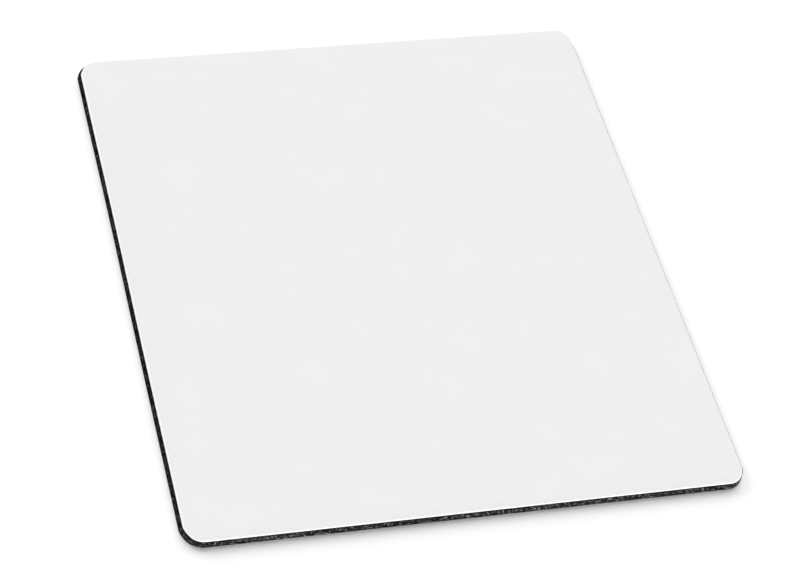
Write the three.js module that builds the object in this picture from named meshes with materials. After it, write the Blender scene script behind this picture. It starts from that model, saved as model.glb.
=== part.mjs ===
// Mouse pad: knit cloth bonded by a thin film to a sponge rubber base, cut out in one stroke of a
// steel-rule die. Millimetres, +Z up. The origin is the centre of the underside, X runs along the short
// side and Y along the long one.
import * as THREE from 'three';

// Cut line: the outline of the die, which is the size of the cloth face
const padWidth = 200;
const padDepth = 240;
const cornerRadius = 7;

// Layers, from the desk up
const foamThickness = 1.45;
const filmThickness = 0.1;
const clothThickness = 0.45;

// Edge left by the die: the cloth is rounded over, and the sponge below it is squeezed out towards its
// foot, springs back to a dished wall and follows the lean of the blade
const clothRimRadius = 0.12;
const rimShareLimit = 0.9; // of the cloth's thickness
const footFlare = 1.12;
const wallDish = 0.18;
const cutLean = 0.2; // how far the cut line lies towards +X from the foot

// Facets
const cornerSteps = 14;
const rimSteps = 4;
const wallSteps = 8;

// One ring of points round the pad, moved out from the cut line: four corner arcs, anticlockwise from +X.
function outlineRing(outset) {
  const cornerX = padWidth / 2 - cornerRadius;
  const cornerY = padDepth / 2 - cornerRadius;
  const cornerSigns = [[1, 1], [-1, 1], [-1, -1], [1, -1]];
  return cornerSigns.flatMap(([signX, signY], quarter) => {
    const startAngle = quarter * Math.PI / 2;
    const endAngle = startAngle + Math.PI / 2;
    const radius = cornerRadius + outset;
    const arc = new THREE.ArcCurve(signX * cornerX, signY * cornerY, radius, startAngle, endAngle);
    return arc.getPoints(cornerSteps);
  });
}

// A closed solid: an edge section of (outset, height) points, swept round the outline and closed by two
// flat faces. The section runs from the underside, round the outside, to the top.
function sweepSection(section) {
  const rings = section.map((point) => outlineRing(point.x).map((at) => [at.x, at.y, point.y]));
  const ringSize = rings[0].length;
  const lastRing = rings.length - 1;
  const positions = rings.flat(2);
  positions.push(0, 0, section[0].y, 0, 0, section[lastRing].y);
  const bottomCentre = rings.length * ringSize;
  const topCentre = bottomCentre + 1;
  const index = [];
  for (let i = 0; i < ringSize; i += 1) {
    const next = (i + 1) % ringSize;
    for (let ring = 0; ring < lastRing; ring += 1) {
      const low = ring * ringSize;
      const high = low + ringSize;
      index.push(low + i, low + next, high + next);
      index.push(low + i, high + next, high + i);
    }
    index.push(bottomCentre, next, i);
    index.push(topCentre, lastRing * ringSize + i, lastRing * ringSize + next);
  }
  const geometry = new THREE.BufferGeometry();
  geometry.setAttribute('position', new THREE.Float32BufferAttribute(positions, 3));
  geometry.setIndex(index);
  geometry.computeVertexNormals();
  return geometry;
}

// Sponge rubber: a flat underside and a wall that flares at the foot and is dished where it sprang back
// from the blade. The dish is measured at half height, from the straight line between the wall's ends.
// The lean of the cut slants the whole slab, foot on the origin and top under the film.
function foamGeometry() {
  const foot = new THREE.Vector2(footFlare, 0);
  const edge = new THREE.Vector2(0, foamThickness);
  const bend = foot.clone().lerp(edge, 0.5);
  bend.x -= 2 * wallDish;
  const wall = new THREE.QuadraticBezierCurve(foot, bend, edge);
  const lean = new THREE.Matrix4().makeShear(0, 0, 0, 0, cutLean / foamThickness, 0);
  return sweepSection(wall.getPoints(wallSteps)).applyMatrix4(lean);
}

// Hot-melt film: a flat sheet cut off square.
function filmGeometry() {
  return sweepSection([new THREE.Vector2(0, 0), new THREE.Vector2(0, filmThickness)]);
}

// Knit cloth: a flat sheet whose cut edge is rounded over at the top.
function clothGeometry() {
  const rimRadius = Math.min(clothRimRadius, rimShareLimit * clothThickness);
  const start = new THREE.Vector2(0, clothThickness - rimRadius);
  const bend = new THREE.Vector2(0, clothThickness);
  const end = new THREE.Vector2(-rimRadius, clothThickness);
  const rim = new THREE.QuadraticBezierCurve(start, bend, end);
  return sweepSection([new THREE.Vector2(0, 0), ...rim.getPoints(rimSteps)]);
}

function layer(name, geometry, finish) {
  const mesh = new THREE.Mesh(geometry, new THREE.MeshStandardMaterial(finish));
  mesh.name = name;
  return mesh;
}

const blackSponge = { color: 0x17181a, roughness: 0.95, metalness: 0 };
const clearFilmOnSponge = { color: 0x2c2d2f, roughness: 0.5, metalness: 0 };
const whiteKnit = { color: 0xeeeeee, roughness: 0.9, metalness: 0 };
const foamBase = layer('foam_base', foamGeometry(), blackSponge);
const bondingFilm = layer('bonding_film', filmGeometry(), clearFilmOnSponge);
const surfaceCloth = layer('surface_cloth', clothGeometry(), whiteKnit);

// The film and the cloth are bonded to the top of the foam, one on the other, inside the same cut line.
const bondedFace = new THREE.Group();
bondedFace.position.set(cutLean, 0, foamThickness);
surfaceCloth.position.z = filmThickness;
bondedFace.add(bondingFilm, surfaceCloth);

const mousePad = new THREE.Group();
mousePad.name = 'mouse_pad';
mousePad.add(foamBase, bondedFace);

export default mousePad;
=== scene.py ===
"""A blank cloth mouse pad on a white table: knit face, glue line and black sponge rubber base."""
import math

import bpy
import numpy as np
from mathutils import Matrix, Vector


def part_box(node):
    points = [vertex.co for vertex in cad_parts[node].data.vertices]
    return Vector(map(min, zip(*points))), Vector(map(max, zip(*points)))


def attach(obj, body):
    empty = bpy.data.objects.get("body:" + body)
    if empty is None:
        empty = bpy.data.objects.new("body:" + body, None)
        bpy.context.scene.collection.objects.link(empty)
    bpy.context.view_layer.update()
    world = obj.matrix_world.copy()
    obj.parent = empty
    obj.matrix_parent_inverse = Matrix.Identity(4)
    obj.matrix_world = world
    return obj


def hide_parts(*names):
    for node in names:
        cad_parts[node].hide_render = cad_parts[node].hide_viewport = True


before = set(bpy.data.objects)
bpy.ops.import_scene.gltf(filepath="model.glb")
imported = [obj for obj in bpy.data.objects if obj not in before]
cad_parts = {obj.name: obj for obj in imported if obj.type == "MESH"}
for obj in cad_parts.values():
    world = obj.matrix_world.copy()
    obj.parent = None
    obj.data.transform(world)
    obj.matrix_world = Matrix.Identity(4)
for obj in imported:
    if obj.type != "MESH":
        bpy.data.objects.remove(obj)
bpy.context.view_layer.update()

MM = 0.001

# Sizes of the solids, from model.glb
CLOTH_LOW, CLOTH_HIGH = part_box("surface_cloth")
FOAM_LOW, FOAM_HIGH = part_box("foam_base")
HALF_WIDTH = (CLOTH_HIGH.x - CLOTH_LOW.x) / 2
HALF_DEPTH = CLOTH_HIGH.y
CUT_LEAN = (CLOTH_HIGH.x + CLOTH_LOW.x) / 2
FOOT_FLARE = FOAM_HIGH.y - HALF_DEPTH

# The die-cut edge, as it is in the solids
CORNER_RADIUS = 7 * MM
RIM_RADIUS = 0.12 * MM
WALL_DISH = 0.18 * MM

# The uneven cut, in the visual alone: a slow wave along the left side, and corners drawn out or in
WAVE_HEIGHT = 0.16 * MM
WAVE_LENGTH = 145 * MM
WAVE_CREST = 99 * MM
CLOTH_OUT_RIGHT = 0.33 * MM
CLOTH_IN_LEFT = 0.7 * MM
FOOT_IN_RIGHT = 1.0 * MM
FOOT_IN_LEFT = 0.6 * MM

# Knit cloth
KNIT_SEED = 11
CLOTH_STATIONS = 3400
WALE_PITCH = 0.42 * MM
COURSE_PITCH = 0.34 * MM
EDGE_WANDER = 0.02 * MM
RIPPLE_HEIGHT = 0.01 * MM
RIPPLE_LENGTH = 40 * MM
RIPPLE_SPREAD = (0.6, 1.6)
RIPPLE_MARGIN = 12 * MM
RIPPLE_COUNT = 6
FACE_GRID = 2 * MM
HIDDEN_GRID = 12 * MM
GRID_MARGIN = 4 * MM
RIM_ROWS = 5
# The edge strip that carries the painted highlight, and its fade. The edge wander fades out across it too.
PAINTED_STRIP_WIDTH = 0.55 * MM
PAINTED_STRIP_FADE = 0.15 * MM

# Sponge rubber
SPONGE_SEED = 23
SPONGE_STATIONS = 4400
WALL_ROWS = 12
# Top rows of the wall, painted as shade under the cloth, with no specks
SHADED_TOP_ROWS = 3
FOOT_LIP = (0.04 * MM, 0.1 * MM)
PORES_PER_MM2 = 8.0
PORE_RADIUS = (0.1 * MM, 0.25 * MM)
PORE_DEPTH = (0.06 * MM, 0.16 * MM)
GRIP_PITCH = 2.8 * MM
GRIP_GROOVE = 0.8 * MM
GRIP_DEPTH = 0.25 * MM
GRIP_MARGIN = 3 * MM

# Colours, linear
KNIT_WHITE = (0.888, 0.888, 0.888, 1)
# Painted shade: the knit is darker in the gaps between its loops
KNIT_GAP_SHADE = (0.84, 0.84, 0.84, 1)
# Painted highlight: the light strip along the left edge
HIGHLIGHT_WHITE = (0.98, 0.98, 0.98, 1)
# Painted shade: the cloth's cut side is grey, for the shade it lies in
SIDE_SHADE_GREY = (0.36, 0.36, 0.36, 1)
GLUE_DARK = (0.01, 0.01, 0.011, 1)
SPONGE_BLACK = (0.0025, 0.0025, 0.0027, 1)
SPONGE_GREY = (0.18, 0.18, 0.182, 1)
TABLE_WHITE = (0.95, 0.95, 0.95, 1)
PURE_WHITE = (1, 1, 1, 1)

# Finishes: values for the shared grain, roughness as its least value and its swing, and relief
KNIT_GRAIN = {"Mottle Scale": 60.0, "Mottle Amount": 0.03, "Grain Scale": 5000.0}
GLUE_GRAIN = {"Mottle Scale": 400.0, "Mottle Amount": 0.5, "Grain Scale": 3000.0}
SPONGE_GRAIN = {"Mottle Scale": 150.0, "Mottle Amount": 0.4, "Grain Scale": 4000.0}
KNIT_ROUGHNESS = (0.82, 0.15)
GLUE_ROUGHNESS = (0.35, 0.3)
SPONGE_ROUGHNESS = (0.75, 0.2)
KNIT_RELIEF = {"Strength": 0.35, "Distance": 0.05 * MM}
SPONGE_RELIEF = {"Strength": 0.4, "Distance": 0.06 * MM}
FUZZ_SHARE = 0.3
GLUE_GLOSS = 0.1
CELL_SCALE = 2600.0
SPECK_RARITY = 4.0
# How strongly the painted shade of the cut cells takes out the specks
PORE_SHADE = 2.0
SKIN_SHADE = 0.85

# The photograph's camera, in metres, degrees and pixels
IMAGE_WIDTH = 800
FOCAL_PIXELS = 2777.7
SENSOR_WIDTH = 36
CAMERA_PLACE = (-0.24317, -0.68181, 0.73552)
CAMERA_HEADING = 19.913
CAMERA_DOWN = 45.93
CAMERA_ROLL = 9.403

# Light, as shares of what falls on the cloth face, with headings from +Y towards +X, in degrees. The fill
# is so low that it reaches the front wall far more than the face.
RIGHT_KEY = {"share": 0.56, "height": 24, "heading": 28, "softness": 42}
LEFT_KEY = {"share": 0.19, "height": 15, "heading": -24, "softness": 26}
FILL = {"share": 0.03, "height": 0.65, "heading": 180, "softness": 1.2}
SKY_SHARE = 0.22
TABLE_LIFT = 0.105
TABLE_SIZE = 8.0
TABLE_GAP = 0.01 * MM


def cut_line(stations):
    """Evenly spaced points on the cut line, the outward directions there and the way travelled so far."""
    runs = [2 * (HALF_DEPTH - CORNER_RADIUS), 2 * (HALF_WIDTH - CORNER_RADIUS)] * 2
    reaches = [HALF_WIDTH, HALF_DEPTH] * 2
    bend_length = CORNER_RADIUS * math.pi / 2
    perimeter = sum(runs) + 4 * bend_length
    travelled = np.arange(stations) * perimeter / stations
    points = np.zeros((stations, 2))
    outward = np.zeros((stations, 2))
    start = 0.0
    for side, (run, reach) in enumerate(zip(runs, reaches)):
        here = (travelled >= start) & (travelled < start + run + bend_length)
        way = travelled[here] - start
        angle = side * math.pi / 2
        out = np.array([math.cos(angle), math.sin(angle)])
        ahead = np.array([-out[1], out[0]])
        bend = np.maximum(way - run, 0) / CORNER_RADIUS
        outward[here] = np.outer(np.cos(bend), out) + np.outer(np.sin(bend), ahead)
        on_run = np.minimum(way, run) - run / 2
        points[here] = (reach - CORNER_RADIUS) * out + np.outer(on_run, ahead)
        start += run + bend_length
    return points + CORNER_RADIUS * outward, outward, travelled


def cornered(outward):
    """One in the middle of each corner, and zero along the sides."""
    return abs(2 * outward[:, 0] * outward[:, 1])


def facing_left(outward):
    """One along the left side, falling to zero round its corners."""
    return np.clip(-outward[:, 0], 0, 1)


def left_wave(points, outward):
    """How far the left side wanders out and in: a slow wave that grows from front to back."""
    along = points[:, 1]
    growth = (1 + along / HALF_DEPTH) / 2
    wave = np.cos((along - WAVE_CREST) * 2 * math.pi / WAVE_LENGTH)
    return WAVE_HEIGHT * growth * wave * facing_left(outward)


def swept(section, points, outward, shift=0.0):
    """Rings of points: an edge section of (outset, height) rows, carried round the cut line."""
    outset = section[:, 0, None] + np.zeros(len(points)) + shift
    flat = points[None] + outward[None] * outset[..., None]
    height = np.broadcast_to(section[:, 1, None, None], flat.shape[:2] + (1,))
    return np.concatenate([flat, height], axis=2)


def curve(start, bend, end, rows):
    """Section rows along a quadratic curve, both ends included."""
    t = np.linspace(0, 1, rows)[:, None]
    return (1 - t) ** 2 * np.array(start) + 2 * t * (1 - t) * np.array(bend) + t**2 * np.array(end)


class Skin:
    """The points and faces of one closed mesh, gathered part by part, with named marks on the points."""

    def __init__(self, *marks):
        self.points = np.zeros((0, 3))
        self.faces = []
        self.marks = {name: np.zeros(0) for name in marks}

    def add(self, points, **marks):
        """Adds an array of points, and returns their numbers in the array's own shape."""
        shape = points.shape[:-1]
        first = len(self.points)
        self.points = np.concatenate([self.points, points.reshape(-1, 3)])
        for name, known in self.marks.items():
            new = np.broadcast_to(marks.get(name, 0.0), shape).reshape(-1)
            self.marks[name] = np.concatenate([known, new])
        return np.arange(first, len(self.points)).reshape(shape)

    def wall(self, rings):
        """Joins each ring to the next one with four-sided faces."""
        low, high = rings[:-1], rings[1:]
        quads = np.stack([low, np.roll(low, -1, 1), np.roll(high, -1, 1), high], axis=-1)
        self.faces += quads.reshape(-1, 4).tolist()

    def grid(self, numbers, up):
        """Fills a grid of points, numbered [x, y], with four-sided faces that look up or down."""
        quads = np.stack([numbers[:-1, :-1], numbers[1:, :-1], numbers[1:, 1:], numbers[:-1, 1:]], axis=-1)
        self.faces += quads.reshape(-1, 4)[:, :: 1 if up else -1].tolist()

    def by_angle(self, loop):
        """An anticlockwise loop, begun at its least angle about the middle of the pad, and the angles."""
        angle = np.arctan2(self.points[loop, 1], self.points[loop, 0])
        first = int(np.argmin(angle))
        angle = np.roll(angle, -first)
        return np.roll(loop, -first), np.append(angle, angle[0] + 2 * math.pi)

    def lid(self, ring, border, up):
        """Closes the strip between an outer ring and an inner border with triangles."""
        ring, ring_angle = self.by_angle(ring)
        border, border_angle = self.by_angle(border)
        at_ring, at_border = 0, 0
        while at_ring < len(ring) or at_border < len(border):
            outer = ring[at_ring % len(ring)]
            inner = border[at_border % len(border)]
            border_done = at_border == len(border)
            ring_left = at_ring < len(ring)
            if border_done or (ring_left and ring_angle[at_ring + 1] <= border_angle[at_border + 1]):
                at_ring += 1
                face = (outer, ring[at_ring % len(ring)], inner)
            else:
                at_border += 1
                face = (outer, border[at_border % len(border)], inner)
            self.faces.append([int(number) for number in face[:: 1 if up else -1]])

    def make(self, name, smooth):
        """The finished mesh, slanted by the lean of the cut, as an object that rides on the pad."""
        rise = np.clip(self.points[:, 2] / FOAM_HIGH.z, 0, 1)
        slanted = self.points + np.outer(rise, (CUT_LEAN, 0, 0))
        mesh = bpy.data.meshes.new(name)
        mesh.from_pydata(slanted.tolist(), [], self.faces)
        mesh.polygons.foreach_set("use_smooth", [smooth] * len(mesh.polygons))
        for mark, values in self.marks.items():
            mesh.attributes.new(mark, "FLOAT", "POINT").data.foreach_set("value", values.astype(np.float32))
        mesh.validate()
        piece = bpy.data.objects.new(name, mesh)
        bpy.context.scene.collection.objects.link(piece)
        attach(piece, "root")
        return piece


def border_of(numbers):
    """The outer loop of a grid of point numbers, anticlockwise."""
    return np.concatenate([numbers[:-1, 0], numbers[-1, :-1], numbers[:0:-1, -1], numbers[0, :0:-1]])


def level_grid(margin, spacing, height):
    """A grid of points over the pad, a margin in from the cut line, at one height."""
    reach_x, reach_y = HALF_WIDTH - margin, HALF_DEPTH - margin
    xs = np.linspace(-reach_x, reach_x, round(2 * reach_x / spacing) + 1)
    ys = np.linspace(-reach_y, reach_y, round(2 * reach_y / spacing) + 1)
    x, y = np.meshgrid(xs, ys, indexing="ij")
    return np.stack([x, y, np.full_like(x, height)], axis=-1)


def ripple(grid, rng):
    """The slight unevenness of a bonded face, fading out towards the edge."""
    x, y = grid[..., 0], grid[..., 1]
    waves = np.zeros_like(x)
    for _ in range(RIPPLE_COUNT):
        heading, phase = rng.uniform(0, 2 * math.pi, 2)
        length = RIPPLE_LENGTH * rng.uniform(*RIPPLE_SPREAD)
        waves += np.sin((x * math.cos(heading) + y * math.sin(heading)) * 2 * math.pi / length + phase)
    inside = np.minimum(HALF_WIDTH - abs(x), HALF_DEPTH - abs(y)) - GRID_MARGIN
    return RIPPLE_HEIGHT * waves / RIPPLE_COUNT * np.clip(inside / RIPPLE_MARGIN, 0, 1)


def knit_face():
    """The white cloth: a flat knit face with a rounded cut edge, a painted highlight along the left side
    and painted shade on its cut side.
    """
    rng = np.random.default_rng(KNIT_SEED)
    low, top = CLOTH_LOW.z, CLOTH_HIGH.z
    rim = curve((0, top - RIM_RADIUS), (0, top), (-RIM_RADIUS, top), RIM_ROWS)
    strip = [(-PAINTED_STRIP_WIDTH, top), (-PAINTED_STRIP_WIDTH - PAINTED_STRIP_FADE, top)]
    section = np.concatenate([[(0, low)], rim, strip])
    points, outward, _ = cut_line(CLOTH_STATIONS)
    wander = rng.normal(0, EDGE_WANDER, CLOTH_STATIONS)
    wander = (wander + np.roll(wander, 1)) / 2
    loose = np.clip(1 + section[:, 0] / PAINTED_STRIP_WIDTH, 0, 1)[:, None]
    across, along = outward.T
    drawn = cornered(outward) * np.where(across > 0, CLOTH_OUT_RIGHT * along**2, CLOTH_IN_LEFT * across**3)
    rings = swept(section, points, outward, (wander + drawn + left_wave(points, outward)) * loose)
    # Painted highlight: lighter on the top strip at the edge, along the left side and fading round its
    # corners
    painted_highlight = np.clip(1 + (section[:, 0] + PAINTED_STRIP_WIDTH) / PAINTED_STRIP_FADE, 0, 1)
    highlight_side = facing_left(outward) ** 3
    # Painted shade: grey on the cut side, below the top of the rim
    shaded_side = np.clip((top - section[:, 1]) / RIM_RADIUS, 0, 1)
    # Marks for the painted highlight and for the painted shade of the cut side
    skin = Skin("cut_edge", "cut_side")
    rows = skin.add(rings, cut_edge=np.outer(painted_highlight, highlight_side), cut_side=shaded_side[:, None])
    skin.wall(rows)
    face = level_grid(GRID_MARGIN, FACE_GRID, top)
    face[..., 2] -= RIPPLE_HEIGHT - ripple(face, rng)
    numbers = skin.add(face)
    skin.grid(numbers, up=True)
    skin.lid(rows[-1], border_of(numbers), up=True)
    hidden = skin.add(level_grid(GRID_MARGIN, HIDDEN_GRID, low))
    skin.grid(hidden, up=False)
    skin.lid(rows[0], border_of(hidden), up=False)
    piece = skin.make("knit_face", smooth=True)
    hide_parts("surface_cloth")
    return piece


def sponge_pores(travelled, climb, rng):
    """How deep the cut cells of the sponge reach into its wall, for each row and station."""
    spacing = travelled[1]
    perimeter = travelled[-1] + spacing
    count = int(PORES_PER_MM2 * perimeter * climb[-1] / MM**2)
    alongs = rng.uniform(0, perimeter, count)
    ups = rng.uniform(0, climb[-1], count)
    radii = PORE_RADIUS[0] + (PORE_RADIUS[1] - PORE_RADIUS[0]) * rng.uniform(0, 1, count) ** 2
    depths = rng.uniform(*PORE_DEPTH, count)
    depth = np.zeros((len(climb), len(travelled)))
    for along, up, radius, deep in zip(alongs, ups, radii, depths):
        first = math.floor((along - radius) / spacing)
        last = math.ceil((along + radius) / spacing)
        stations = np.arange(first, last + 1)
        off = np.hypot((stations * spacing - along)[None], (climb - up)[:, None]) / radius
        hollow = deep * np.sqrt(np.clip(1 - off**2, 0, 1))
        columns = stations % len(travelled)
        depth[:, columns] = np.maximum(depth[:, columns], hollow)
    return depth


def grip_pattern(skin):
    """The embossed waffle of the underside: raised squares between grooves. Returns its outer loop."""
    corners = level_grid(GRIP_MARGIN, GRIP_PITCH, GRIP_DEPTH)
    near = np.full(2, GRIP_GROOVE / 2)
    far = (corners[1, 1] - corners[0, 0])[:2] - near
    ends = (near[0], near[1]), (far[0], near[1]), (far[0], far[1]), (near[0], far[1])
    squares = np.stack([corners[:-1, :-1] + (x, y, -GRIP_DEPTH) for x, y in ends], axis=2)
    grooves = skin.add(corners, grip=1.0)
    raised = skin.add(squares, grip=1.0)
    around = np.stack([grooves[:-1, :-1], grooves[1:, :-1], grooves[1:, 1:], grooves[:-1, 1:]], axis=2)
    skin.faces += raised.reshape(-1, 4)[:, ::-1].tolist()
    for side in range(4):
        after = (side + 1) % 4
        inner = raised[..., side], raised[..., after]
        outer = around[..., after], around[..., side]
        skin.faces += np.stack(inner + outer, axis=-1).reshape(-1, 4).tolist()
    return border_of(grooves)


def sponge_base():
    """The black base: a flared wall of cut cells over a ragged lip, and an embossed underside.

    The lip grows from left to right, and the top rows of the wall carry painted shade from the cloth above,
    so they show no specks.
    """
    rng = np.random.default_rng(SPONGE_SEED)
    foot = np.array([FOOT_FLARE, FOAM_LOW.z])
    edge = np.array([0, FOAM_HIGH.z])
    bend = (foot + edge) / 2 - (2 * WALL_DISH, 0)
    wall = curve(foot, bend, edge, WALL_ROWS + 1)
    climb = np.append(0, np.cumsum(np.linalg.norm(np.diff(wall, axis=0), axis=1)))
    points, outward, travelled = cut_line(SPONGE_STATIONS)
    depth = sponge_pores(travelled, climb, rng)
    across = outward[:, 0]
    depth[0] = -rng.uniform(*FOOT_LIP, SPONGE_STATIONS) * (1 + across) / 2
    depth[-1] = 0
    drawn = cornered(outward) * np.where(across > 0, FOOT_IN_RIGHT * across, FOOT_IN_LEFT * across**4)
    tuck = np.outer(1 - wall[:, 1] / FOAM_HIGH.z, drawn)
    # Painted shade: the deeper the cut cell, the fewer its specks
    pore = np.maximum(depth, 0) / PORE_DEPTH[1]
    # Painted shade under the cloth: the top rows show no specks
    pore[-SHADED_TOP_ROWS:] = 1
    skin = Skin("pore", "grip")
    rows = skin.add(swept(wall, points, outward, left_wave(points, outward) - depth - tuck), pore=pore)
    skin.wall(rows)
    hidden = skin.add(level_grid(GRID_MARGIN, HIDDEN_GRID, FOAM_HIGH.z))
    skin.grid(hidden, up=True)
    skin.lid(rows[-1], border_of(hidden), up=True)
    skin.lid(rows[0], grip_pattern(skin), up=False)
    piece = skin.make("sponge_base", smooth=False)
    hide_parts("foam_base")
    return piece


def node(tree, kind, values=(), **settings):
    """A shader node with its settings, and with plain values or links on its inputs."""
    made = tree.nodes.new("ShaderNode" + kind)
    for name, value in settings.items():
        setattr(made, name, value)
    for socket, value in dict(values).items():
        if isinstance(value, bpy.types.NodeSocket):
            tree.links.new(value, made.inputs[socket])
        else:
            made.inputs[socket].default_value = value
    return made


def number(tree, operation, *operands):
    """The result of a Math node."""
    return node(tree, "Math", enumerate(operands), operation=operation).outputs[0]


def mixed(tree, factor, first, second):
    """A colour between two colours, by the Mix node's colour sockets."""
    return node(tree, "Mix", {0: factor, 6: first, 7: second}, data_type="RGBA").outputs[2]


def grain_group():
    """Shared by all three materials: soft mottling of a colour, and fine grain for roughness and relief."""
    tree = bpy.data.node_groups.new("surface_grain", "ShaderNodeTree")
    wanted = {"Vector": "Vector", "Color": "Color", "Mottle Scale": "Float", "Mottle Amount": "Float",
              "Grain Scale": "Float"}
    for name, kind in wanted.items():
        tree.interface.new_socket(name, in_out="INPUT", socket_type="NodeSocket" + kind)
    for name, kind in {"Color": "Color", "Grain": "Float"}.items():
        tree.interface.new_socket(name, in_out="OUTPUT", socket_type="NodeSocket" + kind)
    given = tree.nodes.new("NodeGroupInput").outputs
    place = given["Vector"]
    mottle = node(tree, "TexNoise", {"Vector": place, "Scale": given["Mottle Scale"], "Detail": 3.0})
    grain = node(tree, "TexNoise", {"Vector": place, "Scale": given["Grain Scale"], "Detail": 4.0})
    swing = number(tree, "SUBTRACT", mottle.outputs["Fac"], 0.5)
    level = number(tree, "MULTIPLY_ADD", swing, given["Mottle Amount"], 1.0)
    tone = node(tree, "VectorMath", {0: given["Color"], "Scale": level}, operation="SCALE")
    result = tree.nodes.new("NodeGroupOutput")
    tree.links.new(tone.outputs["Vector"], result.inputs["Color"])
    tree.links.new(grain.outputs["Fac"], result.inputs["Grain"])
    return tree


def material(name):
    """A new material, its node tree and its Principled shader."""
    made = bpy.data.materials.new(name)
    made.use_nodes = True
    shader = made.node_tree.nodes["Principled BSDF"]
    return made, made.node_tree, shader


def grained(tree, shader, group, place, colour, grain, roughness):
    """Gives a shader a mottled colour and its roughness by the shared grain, and returns the fine grain."""
    values = {"Vector": place, "Color": colour, **grain}
    shared = node(tree, "Group", values, node_tree=group).outputs
    tree.links.new(shared["Color"], shader.inputs["Base Color"])
    least, swing = roughness
    rough = number(tree, "MULTIPLY_ADD", shared["Grain"], swing, least)
    tree.links.new(rough, shader.inputs["Roughness"])
    return shared["Grain"]


def embossed(tree, shader, height, relief):
    """Gives a shader the relief of a height."""
    bump = node(tree, "Bump", {"Height": height, **relief})
    tree.links.new(bump.outputs["Normal"], shader.inputs["Normal"])


def knit_relief(tree, place):
    """The height of the knit: columns of V-shaped loops, from 0 in the gaps to 1 on the yarn."""
    axes = node(tree, "SeparateXYZ", {0: place}).outputs
    wale = number(tree, "FRACT", number(tree, "DIVIDE", axes["X"], WALE_PITCH))
    off_middle = number(tree, "ABSOLUTE", number(tree, "SUBTRACT", wale, 0.5))
    from_middle = number(tree, "MULTIPLY", off_middle, 2.0)
    course = number(tree, "ADD", number(tree, "DIVIDE", axes["Y"], COURSE_PITCH), from_middle)
    wave = number(tree, "COSINE", number(tree, "MULTIPLY", course, 2 * math.pi))
    leg = number(tree, "SINE", number(tree, "MULTIPLY", from_middle, math.pi))
    legs = number(tree, "MULTIPLY_ADD", leg, 0.5, 0.25)
    return number(tree, "MULTIPLY_ADD", wave, 0.25, legs)


def knit_material(group):
    """White polyester knit, with a painted highlight along its left edge and painted shade, grey, on its
    cut side.
    """
    made, tree, shader = material("white_knit")
    place = node(tree, "TexCoord").outputs["Object"]
    relief = knit_relief(tree, place)
    # Painted shade: darker in the knit's gaps, following the relief
    yarn = mixed(tree, relief, KNIT_GAP_SHADE, KNIT_WHITE)
    # Painted highlight along the left edge
    painted_highlight = node(tree, "Attribute", attribute_name="cut_edge").outputs["Fac"]
    # Painted shade on the cut side
    side = node(tree, "Attribute", attribute_name="cut_side").outputs["Fac"]
    colour = mixed(tree, side, mixed(tree, painted_highlight, yarn, HIGHLIGHT_WHITE), SIDE_SHADE_GREY)
    grain = grained(tree, shader, group, place, colour, KNIT_GRAIN, KNIT_ROUGHNESS)
    height = number(tree, "MULTIPLY_ADD", grain, FUZZ_SHARE, relief)
    embossed(tree, shader, height, KNIT_RELIEF)
    shader.inputs["Specular IOR Level"].default_value = 0.0
    return made


def glue_material(group):
    """Clear hot-melt film on black sponge, seen as a dark hairline at the cut edge."""
    made, tree, shader = material("dark_glue")
    place = node(tree, "TexCoord").outputs["Object"]
    grained(tree, shader, group, place, GLUE_DARK, GLUE_GRAIN, GLUE_ROUGHNESS)
    shader.inputs["Specular IOR Level"].default_value = GLUE_GLOSS
    return made


def sponge_material(group):
    """Black sponge rubber: dark cut cells between greyer cell walls, the cells' dark painted as shade by
    their depth, and a closed skin underneath.
    """
    made, tree, shader = material("black_sponge")
    place = node(tree, "TexCoord").outputs["Object"]
    pore = node(tree, "Attribute", attribute_name="pore").outputs["Fac"]
    grip = node(tree, "Attribute", attribute_name="grip").outputs["Fac"]
    cells = node(tree, "TexVoronoi", {"Vector": place, "Scale": CELL_SCALE}).outputs["Color"]
    speck = node(tree, "SeparateColor", {0: cells}).outputs[0]
    # Painted shade: fewer specks deeper in the cut cells, and none in the top rows
    ridge = number(tree, "MAXIMUM", number(tree, "MULTIPLY_ADD", pore, -PORE_SHADE, 1.0), 0.0)
    walls = number(tree, "MULTIPLY", number(tree, "POWER", speck, SPECK_RARITY), ridge)
    shown = number(tree, "MULTIPLY", walls, number(tree, "MULTIPLY_ADD", grip, -SKIN_SHADE, 1.0))
    colour = mixed(tree, shown, SPONGE_BLACK, SPONGE_GREY)
    grain = grained(tree, shader, group, place, colour, SPONGE_GRAIN, SPONGE_ROUGHNESS)
    embossed(tree, shader, grain, SPONGE_RELIEF)
    shader.inputs["Specular IOR Level"].default_value = 0.0
    return made


def dress(piece, made):
    """Gives a piece or a CAD node one material."""
    piece.data.materials.clear()
    piece.data.materials.append(made)


def seen_directly(tree):
    """One where the camera looks, also by way of gloss or glass, and zero for the light itself."""
    path = node(tree, "LightPath").outputs
    gloss = number(tree, "MAXIMUM", path["Is Camera Ray"], path["Is Glossy Ray"])
    return number(tree, "MAXIMUM", gloss, path["Is Transmission Ray"])


def table():
    """A plain white table top that goes off to white and keeps the pad's shadow."""
    half = TABLE_SIZE / 2
    height = FOAM_LOW.z - TABLE_GAP
    corners = [(-half, -half, height), (half, -half, height), (half, half, height), (-half, half, height)]
    mesh = bpy.data.meshes.new("table")
    mesh.from_pydata(corners, [], [(0, 1, 2, 3)])
    top = bpy.data.objects.new("table", mesh)
    bpy.context.scene.collection.objects.link(top)
    made, tree, shader = material("white_table")
    shader.inputs["Base Color"].default_value = TABLE_WHITE
    shader.inputs["Roughness"].default_value = 1.0
    shader.inputs["Specular IOR Level"].default_value = 0.0
    shader.inputs["Emission Color"].default_value = PURE_WHITE
    lift = number(tree, "MULTIPLY", seen_directly(tree), TABLE_LIFT)
    tree.links.new(lift, shader.inputs["Emission Strength"])
    dress(top, made)


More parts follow.
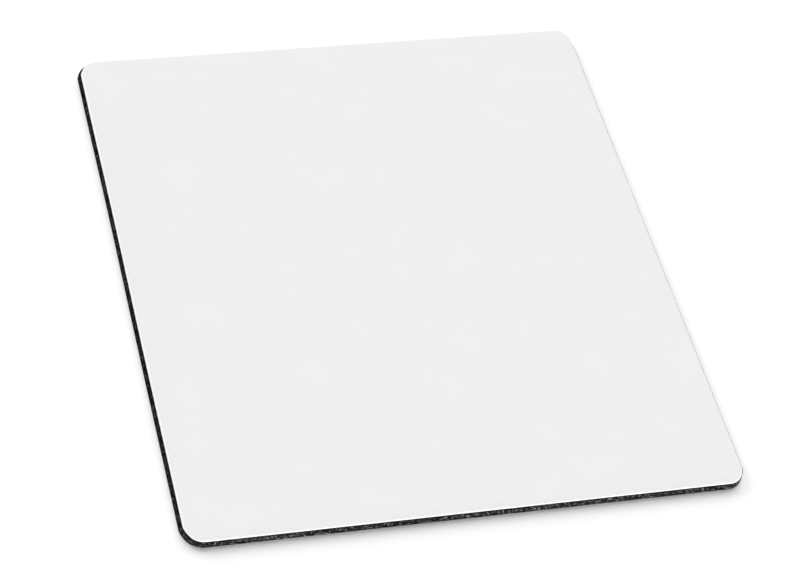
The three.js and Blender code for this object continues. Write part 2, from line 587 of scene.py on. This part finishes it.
def pointing(heading, rise):
    """The direction with a heading, from +Y towards +X, and a rise above the table, both in degrees."""
    around, above = math.radians(heading), math.radians(rise)
    flat = math.cos(above)
    return Vector((math.sin(around) * flat, math.cos(around) * flat, math.sin(above)))


def sun(name, share, height, heading, softness, shadow):
    """A soft distant lamp that gives the cloth face its share of the light."""
    towards = pointing(heading, height)
    lamp = bpy.data.lights.new(name, "SUN")
    lamp.energy = share * math.pi / math.sin(math.radians(height))
    lamp.angle = math.radians(softness)
    lamp.use_shadow = shadow
    holder = bpy.data.objects.new(name, lamp)
    holder.rotation_mode = "QUATERNION"
    holder.rotation_quaternion = towards.to_track_quat("Z", "Y")
    bpy.context.scene.collection.objects.link(holder)


def light():
    """Two soft keys from behind, a low fill from the front and a pale sky."""
    sun("right_key", **RIGHT_KEY, shadow=True)
    sun("left_key", **LEFT_KEY, shadow=True)
    sun("fill", **FILL, shadow=False)
    world = bpy.data.worlds.new("sky")
    world.use_nodes = True
    tree = world.node_tree
    sky = tree.nodes["Background"]
    sky.inputs["Color"].default_value = PURE_WHITE
    strength = number(tree, "MULTIPLY_ADD", seen_directly(tree), 1 - SKY_SHARE, SKY_SHARE)
    tree.links.new(strength, sky.inputs["Strength"])
    bpy.context.scene.world = world


def camera():
    """The photograph's camera."""
    roll = math.radians(CAMERA_ROLL)
    ahead = pointing(CAMERA_HEADING, -CAMERA_DOWN)
    level = pointing(CAMERA_HEADING + 90, 0)
    right = level * math.cos(roll) + level.cross(ahead) * math.sin(roll)
    up = right.cross(ahead)
    lens = bpy.data.cameras.new("camera")
    lens.sensor_width = SENSOR_WIDTH
    lens.lens = SENSOR_WIDTH * FOCAL_PIXELS / IMAGE_WIDTH
    holder = bpy.data.objects.new("camera", lens)
    axes = Matrix((right, up, -ahead)).transposed()
    holder.matrix_world = Matrix.Translation(CAMERA_PLACE) @ axes.to_4x4()
    bpy.context.scene.collection.objects.link(holder)
    bpy.context.scene.camera = holder


bpy.context.scene.view_settings.view_transform = "Standard"
camera()
light()
table()
surface_grain = grain_group()
dress(knit_face(), knit_material(surface_grain))
dress(sponge_base(), sponge_material(surface_grain))
dress(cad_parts["bonding_film"], glue_material(surface_grain))
